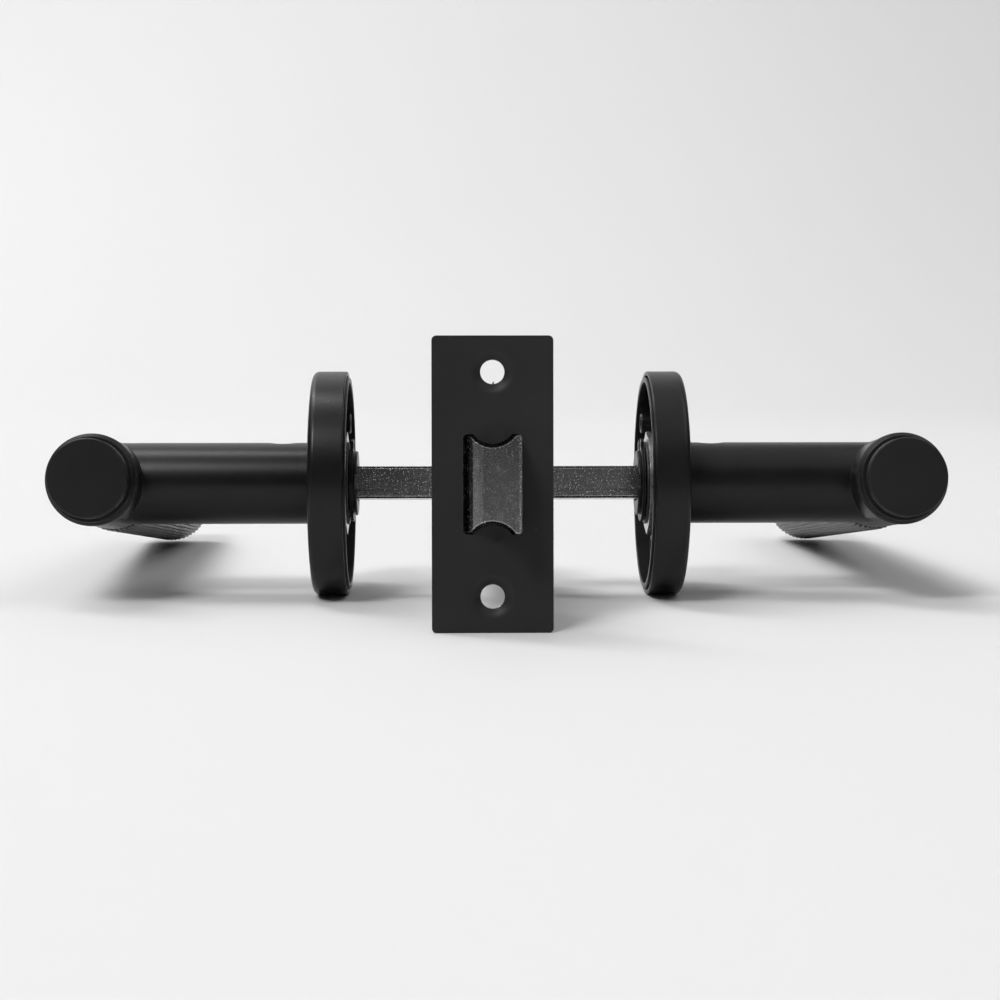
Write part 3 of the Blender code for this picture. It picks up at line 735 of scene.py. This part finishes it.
def make_rose_cover(name, place):
    low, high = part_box(name + "_rose_cover")
    rose_r = high.z
    depth = high.x - low.x
    wall = 1.0 * MM
    inside = depth - 1.2 * MM
    hole_r = NECK_R + 0.45 * MM
    outline = [
        (0, rose_r - wall, 0.28 * MM),
        (0, rose_r, 0.3 * MM),
        (depth, rose_r, 1.5 * MM),
        (depth, hole_r, 0.25 * MM),
        (inside, hole_r, 0),
        (inside, rose_r - wall, 0.4 * MM),
    ]
    settle(lathe(name + "_rose_cover_shell", rounded(outline, 0, 6), place), name + "_rose_cover")


def make_rose_base(name, rim, place):
    """The cup in the cover, with a stepped hole for the bush."""
    low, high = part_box(name + "_rose_base")
    base_r = high.z
    wall_in = base_r - 1.1 * MM
    proud = rim - min(abs(low.x), abs(high.x)) - 0.2 * MM
    floor_out = max(abs(low.x), abs(high.x)) - rim
    floor_in = floor_out - 1.4 * MM
    step, hole_r = 3.1 * MM, 9.8 * MM
    outline = [
        (-proud, wall_in, 0.25 * MM),
        (-proud, base_r, 0.25 * MM),
        (floor_out, base_r, 0.3 * MM),
        (floor_out, hole_r, 0),
        (step, hole_r, 0.1 * MM),
        (step, BUSH_R, 0.2 * MM),
        (floor_in, BUSH_R, 0.4 * MM),
        (floor_in, wall_in, 0.8 * MM),
    ]
    settle(lathe(name + "_rose_base_cup", rounded(outline, 0, 5), place), name + "_rose_base")


def make_rose_posts(name, side, rim):
    bore = 1.6 * MM
    for level in ("upper", "lower"):
        node = f"{name}_post_{level}"
        low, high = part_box(node)
        middle = (low + high) / 2
        radius = (high.z - low.z) / 2
        length = high.x - low.x
        outline = [(0, bore, 0.3 * MM), (0, radius, 0.45 * MM), (length, radius, 0.1 * MM), (length, bore, 0)]
        place = along_x(side * rim, side, middle.y, middle.z)
        settle(lathe(node + "_sleeve", rounded(outline, 0, 5), place, MEDIUM), node)


def make_rose_bush(name, place):
    front, flange_back, back = 1.8 * MM, 2.8 * MM, 6.4 * MM
    body_r = 9.5 * MM
    outline = [
        (front, TURNING_R, 0.15 * MM),
        (front, BUSH_R, 0.2 * MM),
        (flange_back, BUSH_R, 0.1 * MM),
        (flange_back, body_r, 0.1 * MM),
        (back, body_r, 0.1 * MM),
        (back, TURNING_R, 0.15 * MM),
    ]
    settle(lathe(name + "_rose_bush_moulding", rounded(outline, 0), place), name + "_rose_bush")


def make_rose_spring(name, side, rim):
    turns, per_turn = 1.25, 40
    coil_r = 12.9 * MM
    first_angle = 0.4
    start, rise = 2.5, 1.6
    count = round(turns * per_turn)
    points = []
    for i in range(count + 1):
        share = i / count
        around = polar(coil_r, first_angle + FULL_TURN * turns * share)
        points.append(Vector((side * (rim + (start + rise * share) * MM), *around)))
    settle(wire(name + "_rose_spring_wire", points, 0.55 * MM), name + "_rose_spring")


def make_drive_washer(name, side, rim):
    """A steel washer with a bent finger that winds the spring, and a pointed ear above and below."""
    outer, ear = 11.3 * MM, 12.0 * MM
    ear_reach = 0.2
    outline = []
    steps = 96
    for k in range(steps):
        angle = FULL_TURN * k / steps
        from_ear = abs(math.remainder(angle - math.pi / 2, math.pi))
        outline.append(polar(outer + (ear - outer) * max(0.0, 1 - from_ear / ear_reach), angle))
    place = TURNED @ along_x(side * (rim + 0.15 * MM), side)
    washer = extrude(name + "_drive_washer_pressing", outline, 1.1 * MM, place)
    tab = block("tab", (0.05 * MM, 10.5 * MM, -1.5 * MM), (1.05 * MM, 15.4 * MM, 1.5 * MM), place)
    finger = block("finger", (0.1 * MM, 14.2 * MM, -1.45 * MM), (3.8 * MM, 15.35 * MM, 1.45 * MM), place)
    combine(washer, combine(tab, finger, "UNION"), "UNION")
    combine(washer, lathe("cutter", hole_outline(TURNING_R), place, MEDIUM))
    soften(washer, 0.14 * MM, 2)
    settle(washer, name + "_drive_washer")


def make_thrust_ring(name, side, rim):
    place = TURNED @ along_x(side * (rim - 0.35 * MM), side)
    outer, thick = 9.6 * MM, 0.45 * MM
    outline = [(0, TURNING_R), (0, outer), (thick, outer), (thick, TURNING_R)]
    settle(lathe(name + "_thrust_ring_washer", rounded(outline, 0.12 * MM), place), name + "_thrust_ring")


def make_circlip(name, side, rim):
    """A retaining ring with an eyelet at each side of its gap, which is at the top."""
    inner, outer, lug = 7.1 * MM, 8.9 * MM, 10.4 * MM
    gap, lug_end = 0.16, 0.42  # angles from the top
    up = math.pi / 2
    start = [polar(inner, up + gap), polar(lug, up + gap), polar(lug, up + lug_end)]
    ring = arc((0, 0), outer, up + lug_end + 0.06, up + FULL_TURN - lug_end - 0.06, 64)
    end = [polar(lug, up - lug_end), polar(lug, up - gap), polar(inner, up - gap)]
    back = arc((0, 0), inner, up - gap - 0.05, up - FULL_TURN + gap + 0.05, 64)
    outline = start + ring + end + back
    place = TURNED @ along_x(side * (rim - 1.4 * MM), side)
    clip = extrude(name + "_circlip_ring", outline, 0.7 * MM, place)
    for turn in (-1, 1):
        middle = polar((inner + lug) / 2 + 0.3 * MM, up + turn * (gap + lug_end) / 2)
        hole_place = place @ Matrix.Translation((0, *middle))
        combine(clip, lathe("cutter", hole_outline(0.55 * MM, -1 * MM, 2 * MM), hole_place, COARSE))
    soften(clip, 0.1 * MM, 2)
    settle(clip, name + "_circlip")


def grub_screw_place(name):
    """The screw's place, whose local X points up from the spindle's axis, and the radius of its hole."""
    low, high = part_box(name + "_grub_screw")
    turn = Matrix.Rotation(-math.pi / 2, 4, "Y")
    place = TURNED @ Matrix.Translation(((low.x + high.x) / 2, 0, 0)) @ turn
    return place, (high.x - low.x) / 2 + 0.3 * MM


def make_lever(name, side, rim, foot):
    """The neck with its spigot, joined to the head, with the spindle's socket, the slot, and a hole for the
    grub screw."""
    low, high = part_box(name + "_lever")
    groove_r = SPIGOT_R - 0.7 * MM
    groove_front, groove_back = -1.7 * MM, -0.4 * MM
    shoulder = 6.7 * MM
    end = min(abs(low.x), abs(high.x)) - rim
    outline = [
        (end, 0, 0),
        (end, SPIGOT_R, 0.4 * MM),
        (groove_front, SPIGOT_R, 0.05 * MM),
        (groove_front, groove_r, 0),
        (groove_back, groove_r, 0),
        (groove_back, SPIGOT_R, 0.05 * MM),
        (shoulder, SPIGOT_R, 0),
        (shoulder, NECK_R, 0.2 * MM),
        (foot, NECK_R, 0),
        (foot, 0, 0),
    ]
    place = TURNED @ along_x(side * rim, side)
    lever = lathe(name + "_lever_casting", rounded(outline, 0), place)

    grip_place = TURNED @ along_y(0, side * (rim + foot))
    head_front, head_back = -15.6 * MM, 12.0 * MM
    outline = [
        (head_front, 0, 0),
        (head_front, HEAD_R, 0.12 * MM),
        (head_back, HEAD_R, 0.25 * MM),
        (head_back, 0, 0),
    ]
    combine(lever, lathe("head", rounded(outline, 0), grip_place), "UNION")

    socket = 4.1 * MM
    slot_high, slot_half = 10 * MM, 1.6 * MM
    combine(lever, block("cutter", (-4 * MM, -socket, -socket), (41 * MM, socket, socket), place))
    slot_end = (end + 0.5 * MM, slot_high, slot_half)
    combine(lever, block("cutter", (-4 * MM, -slot_high, -slot_half), slot_end, place))

    upright, hole_r = grub_screw_place(name)
    flare_r, above = hole_r + 1.1 * MM, NECK_R + 1 * MM
    outline = [
        (0, 0, 0),
        (0, hole_r, 0),
        (NECK_R - 0.45 * MM, hole_r, 0.3 * MM),
        (NECK_R + 0.25 * MM, flare_r, 0),
        (above, flare_r, 0),
        (above, 0, 0),
    ]
    combine(lever, lathe("cutter", rounded(outline, 0), upright, MEDIUM))

    cap_spigot_r = 4.3 * MM
    bore_front, bore_back = head_front - 1 * MM, head_back + 1 * MM
    step = turned_span(name + "_grip_core")[0] - 1 * MM
    bore = [
        (bore_front, 0),
        (bore_front, cap_spigot_r),
        (step, cap_spigot_r),
        (step, CORE_BORE_R),
        (bore_back, CORE_BORE_R),
        (bore_back, 0),
    ]
    combine(lever, lathe("cutter", bore, grip_place, MEDIUM))
    settle(lever, name + "_lever")


def make_grub_screw(name):
    """A set screw with a hexagon socket, standing on the spindle."""
    place, hole_r = grub_screw_place(name)
    foot, top = 4.1 * MM, 8.2 * MM
    thread_r = hole_r - 0.3 * MM
    outline = [
        (foot, 0, 0),
        (foot, thread_r - 0.6 * MM, 0),
        (foot + 0.6 * MM, thread_r, 0),
        (top, thread_r, 0.2 * MM),
        (top, 0, 0),
    ]
    screw = lathe(name + "_grub_screw_socketed", rounded(outline, 0), place, MEDIUM)
    hexagon = [polar(1.4 * MM, FULL_TURN * k / 6) for k in range(6)]
    combine(screw, extrude("cutter", hexagon, 4 * MM, place @ Matrix.Translation((6.4 * MM, 0, 0))))
    settle(screw, name + "_grub_screw")


def make_front_cap(name, place):
    """The stepped end cap: a disc, a deep groove, a ring and a collar."""
    face, spigot_end, collar_r = turned_span(name + "_front_cap")
    disc_r, groove_r, ring_r, spigot_r = 8.95 * MM, 8.1 * MM, 9.7 * MM, 4 * MM
    chamfer, line_depth = 0.24 * MM, 0.35 * MM
    line_front, line_back = face + 1.15 * MM, face + 1.4 * MM
    groove_front, groove_back = -20.9 * MM, -19.7 * MM
    step_front, step_back = -18.35 * MM, -18.1 * MM
    collar_front, collar_back = -17.6 * MM, -15.9 * MM
    outline = [
        (face, 0, 0),
        (face, disc_r - 0.28 * MM, 0.05 * MM),
        (face + chamfer, disc_r, 0.05 * MM),
        (line_front, disc_r, 0.1 * MM),
        (line_front, disc_r - line_depth, 0),
        (line_back, disc_r - line_depth, 0),
        (line_back, disc_r, 0.1 * MM),
        (groove_front, disc_r, 0.15 * MM),
        (groove_front, groove_r, 0.1 * MM),
        (groove_back, groove_r, 0.1 * MM),
        (groove_back, ring_r, 0.2 * MM),
        (step_front, ring_r, 0.1 * MM),
        (step_front, ring_r - 0.3 * MM, 0),
        (step_back, ring_r - 0.3 * MM, 0),
        (step_back, ring_r + 0.1 * MM, 0.1 * MM),
        (collar_front, collar_r, 0.25 * MM),
        (collar_back, collar_r, 0.15 * MM),
        (collar_back, spigot_r, 0),
        (spigot_end, spigot_r, 0.3 * MM),
        (spigot_end, 0, 0),
    ]
    settle(lathe(name + "_front_cap_turning", rounded(outline, 0, 5), place), name + "_front_cap")


TEETH = 58
TOOTH_DEEP = 0.34 * MM
PER_TOOTH = 8  # mesh columns to a tooth


def tooth_depth(column, share):
    """How deep the sleeve is cut in this column, at this share of its length."""
    phase = (column % PER_TOOTH) / PER_TOOTH
    height = min(1.0, 1.25 * (1 - abs(2 * phase - 1)))
    uneven = 1 + 0.12 * math.sin(41 * share + 2.3 * column / PER_TOOTH)
    return TOOTH_DEEP * uneven * (1 - height)


def make_knurled_grip(name, place):
    """A sleeve with straight teeth along it, which wander a little as rolled knurling does."""
    start, end, radius = turned_span(name + "_knurled_grip")
    end_drop, end_length = 0.35 * MM, 0.5 * MM
    rows, columns = 40, TEETH * PER_TOOTH
    shape = bmesh.new()
    rings = []
    for row in range(rows + 1):
        share = row / rows
        along = start + (end - start) * share
        from_end = min(share, 1 - share) * (end - start)
        crown_r = radius - end_drop * max(0.0, 1 - from_end / end_length)
        ring = []
        for column in range(columns):
            tooth = column / PER_TOOTH
            wander = 0.07 * math.sin(23 * share + 1.7 * tooth) + 0.04 * math.sin(61 * share + 0.9 * tooth)
            point = polar(crown_r - tooth_depth(column, share), FULL_TURN * (tooth + wander) / TEETH)
            ring.append(shape.verts.new(place @ Vector((along, *point))))
        rings.append(ring)
    for along in (end, start):
        points = [polar(CORE_BORE_R, FULL_TURN * column / columns) for column in range(columns)]
        rings.append([shape.verts.new(place @ Vector((along, *point))) for point in points])
    for near, far in zip(rings, rings[1:] + rings[:1]):
        for k in range(columns):
            after = (k + 1) % columns
            shape.faces.new((near[k], near[after], far[after], far[k]))
    settle(to_object(name + "_knurled_grip_sleeve", shape), name + "_knurled_grip")


def make_grip_core(name, place):
    """The rod through a grip, with a shoulder between the head and the knurled sleeve."""
    start, end, shoulder_r = turned_span(name + "_grip_core")
    shoulder_r -= 0.9 * MM
    shoulder_start = 12.3 * MM
    shoulder_end = turned_span(name + "_knurled_grip")[0] - 0.3 * MM
    outline = [
        (start, 0, 0),
        (start, CORE_R, 0.4 * MM),
        (shoulder_start, CORE_R, 0),
        (shoulder_start, shoulder_r, 0.1 * MM),
        (shoulder_end, shoulder_r, 0.1 * MM),
        (shoulder_end, CORE_R, 0),
        (end, CORE_R, 0.4 * MM),
        (end, 0, 0),
    ]
    settle(lathe(name + "_grip_core_rod", rounded(outline, 0), place, MEDIUM), name + "_grip_core")


def make_rear_cap(name, place):
    start, end, cap_r = turned_span(name + "_rear_cap")
    flange = turned_span(name + "_knurled_grip")[1] + 0.3 * MM
    outline = [
        (start, 0, 0),
        (start, CORE_R, 0.3 * MM),
        (flange, CORE_R, 0),
        (flange, cap_r, 0.1 * MM),
        (end, cap_r, 0.4 * MM),
        (end, 0, 0),
    ]
    settle(lathe(name + "_rear_cap_turning", rounded(outline, 0, 5), place), name + "_rear_cap")


def make_handle(name, side):
    """Everything on one side. Outlines along the spindle start at the rose's rim, and the grip's axis stands
    foot away from it."""
    low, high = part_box(name + "_rose_cover")
    rim = min(abs(low.x), abs(high.x))
    grip_low, grip_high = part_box(name + "_knurled_grip")
    foot = abs(grip_low.x + grip_high.x) / 2 - rim
    rose_place = along_x(side * rim, side)
    make_rose_cover(name, rose_place)
    make_rose_base(name, rim, rose_place)
    make_rose_posts(name, side, rim)
    make_rose_bush(name, rose_place)
    make_rose_spring(name, side, rim)
    make_drive_washer(name, side, rim)
    make_thrust_ring(name, side, rim)
    make_circlip(name, side, rim)
    make_lever(name, side, rim, foot)
    make_grub_screw(name)
    grip_place = TURNED @ along_y(0, side * (rim + foot))
    make_front_cap(name, grip_place)
    make_knurled_grip(name, grip_place)
    make_grip_core(name, grip_place)
    make_rear_cap(name, grip_place)


def finish_cad_nodes():
    """The inner pieces keep their CAD shapes and get the same finishes."""
    for node, obj in frame["nodes"].items():
        if not obj.hide_render:
            obj.data.materials.clear()
            obj.data.materials.append(FINISHES[SLOT_OF[node]])


# Studio. The set stands on the faceplate's lower edge and the roses, so its frame leans back on the floor.

ROSE_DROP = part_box("left_rose_cover")[1].z
PLATE_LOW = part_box("faceplate")[0]


def lean_angle():
    """How far the floor tips in this frame, touching both the roses and the faceplate's lower front edge."""
    reach = math.hypot(PLATE_LOW.y, PLATE_LOW.z)
    toe = math.atan2(-PLATE_LOW.z, -PLATE_LOW.y)
    return toe - math.asin(ROSE_DROP / reach)


LEAN = lean_angle()
FLOOR = Matrix.Rotation(LEAN, 4, "X")  # from the floor's frame, level with Z up, to the object's


def make_floor():
    """A pale sweep: level ground that curves up far behind."""
    ground = -ROSE_DROP
    front, curve_start, curve_r = -1.6, 0.9, 0.7
    top, half_width = 3.0, 3.0
    curve = arc((curve_start, ground + curve_r), curve_r, -math.pi / 2, 0, 24)
    profile = [(front, ground), (curve_start, ground), *curve[1:], (curve_start + curve_r, top)]
    shape = bmesh.new()
    rows = []
    for y, z in profile:
        rows.append([shape.verts.new(FLOOR @ Vector((x, y, z))) for x in (-half_width, half_width)])
    for near, far in zip(rows, rows[1:]):
        shape.faces.new((near[0], near[1], far[1], far[0]))
    sweep = to_object("studio_sweep", shape)
    g = Graph("pale_paper")
    tone = g.noise(0.5, 2)
    colour = g.mix(tone, (0.67, 0.67, 0.67), (0.705, 0.705, 0.705))
    normal = g.bump(g.noise(0.6 * MM, 2), 0.02 * MM, 0.1)
    sweep.data.materials.append(g.done(Base_Color=colour, Roughness=0.85, Normal=normal))


def add_light(name, where, target, size, power):
    """A rectangular light with its place and target in the floor's frame. Its size is (width, height)."""
    data = bpy.data.lights.new(name, "AREA")
    data.shape = "RECTANGLE"
    data.size, data.size_y = size
    data.energy = power
    lamp = bpy.data.objects.new(name, data)
    bpy.context.scene.collection.objects.link(lamp)
    start = FLOOR @ Vector(where)
    aim = FLOOR @ Vector(target) - start
    lamp.matrix_world = Matrix.Translation(start) @ aim.to_track_quat("-Z", "Y").to_matrix().to_4x4()


def light_studio():
    world = bpy.data.worlds.new("studio")
    world.use_nodes = True
    ground = world.node_tree.nodes["Background"]
    ground.inputs["Color"].default_value = (1, 1, 1, 1)
    ground.inputs["Strength"].default_value = 0.05
    bpy.context.scene.world = world
    add_light("key", (-0.55, -0.86, 1.18), (0, 0.02, 0), (0.43, 0.39), 10.4)
    add_light("left_ceiling", (-1.15, -0.35, 1.5), (-1.15, -0.35, 0), (1.5, 2.0), 11.2)
    add_light("right_ceiling", (1.15, -0.35, 1.5), (1.15, -0.35, 0), (1.5, 2.0), 12.4)
    add_light("middle_ceiling", (0, 0.3, 1.5), (0, 0.3, 0), (0.8, 2.0), 1.9)
    add_light("back_wash", (-0.9, 0.75, 1.9), (-0.2, 1.6, 0.95), (1.8, 0.6), 34)
    add_light("front_fill", (0.45, -1.15, 0.27), (0.05, 0, 0), (0.5, 0.4), 0.22)
    bpy.context.scene.view_settings.view_transform = "Standard"


def place_camera():
    """The photograph's camera, fitted to the faceplate, roses, necks and caps."""
    data = bpy.data.cameras.new("camera")
    data.lens = 71.31
    data.sensor_width = 36
    data.clip_start = 0.01
    data.clip_end = 20
    camera = bpy.data.objects.new("camera", data)
    bpy.context.scene.collection.objects.link(camera)
    where = Vector((-7.4, -461.2, 38.1)) * MM
    pitch, yaw = math.radians(5.214), math.radians(1.262)
    level = Matrix.Translation(where) @ Euler((math.pi / 2 - pitch, 0, -yaw)).to_matrix().to_4x4()
    camera.matrix_world = FLOOR @ level
    bpy.context.scene.camera = camera


place_camera()
make_plates()
make_bolt()
make_tube()
make_bolt_spring()
make_case_halves()
make_case_rivets()
make_spindle()
make_follower()
for handle_name, handle_side in (("left", -1), ("right", 1)):
    make_handle(handle_name, handle_side)
finish_cad_nodes()
make_floor()
light_studio()
